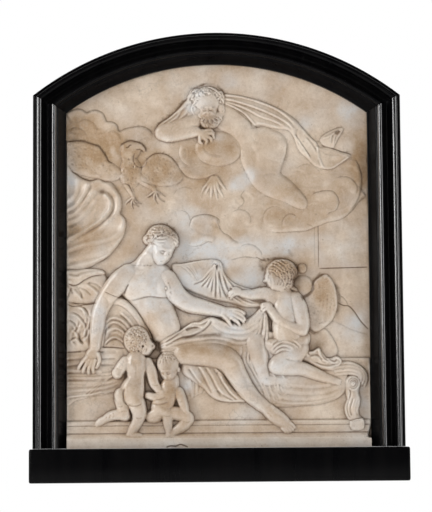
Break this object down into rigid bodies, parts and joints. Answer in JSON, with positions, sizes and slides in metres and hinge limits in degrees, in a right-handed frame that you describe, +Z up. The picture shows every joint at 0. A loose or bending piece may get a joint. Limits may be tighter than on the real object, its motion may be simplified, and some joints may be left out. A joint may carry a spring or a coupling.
{
  "type": "marble relief plaque in a frame",
  "caption": "Arched marble relief of a reclining woman, children, an eagle and a bearded man on clouds, in a moulded black wooden frame with a base block, made to hang on a wall.",
  "frame": {"origin": "middle of the back face of the frame's arched top rail, at its crown, on the wall plane", "axes": "+Z up, +X to the right seen from the front, +Y into the wall, so that the relief faces -Y"},
  "size_m": [0.472, 0.054, 0.567],
  "materials": {
    "marble": "satin",
    "ebonised_wood": "gloss"
  },
  "bodies": {
    "root": {"marble_relief": "marble", "frame_arch": "ebonised_wood", "frame_stile_left": "ebonised_wood", "frame_stile_right": "ebonised_wood", "frame_base": "ebonised_wood"}
  },
  "joints": []
}
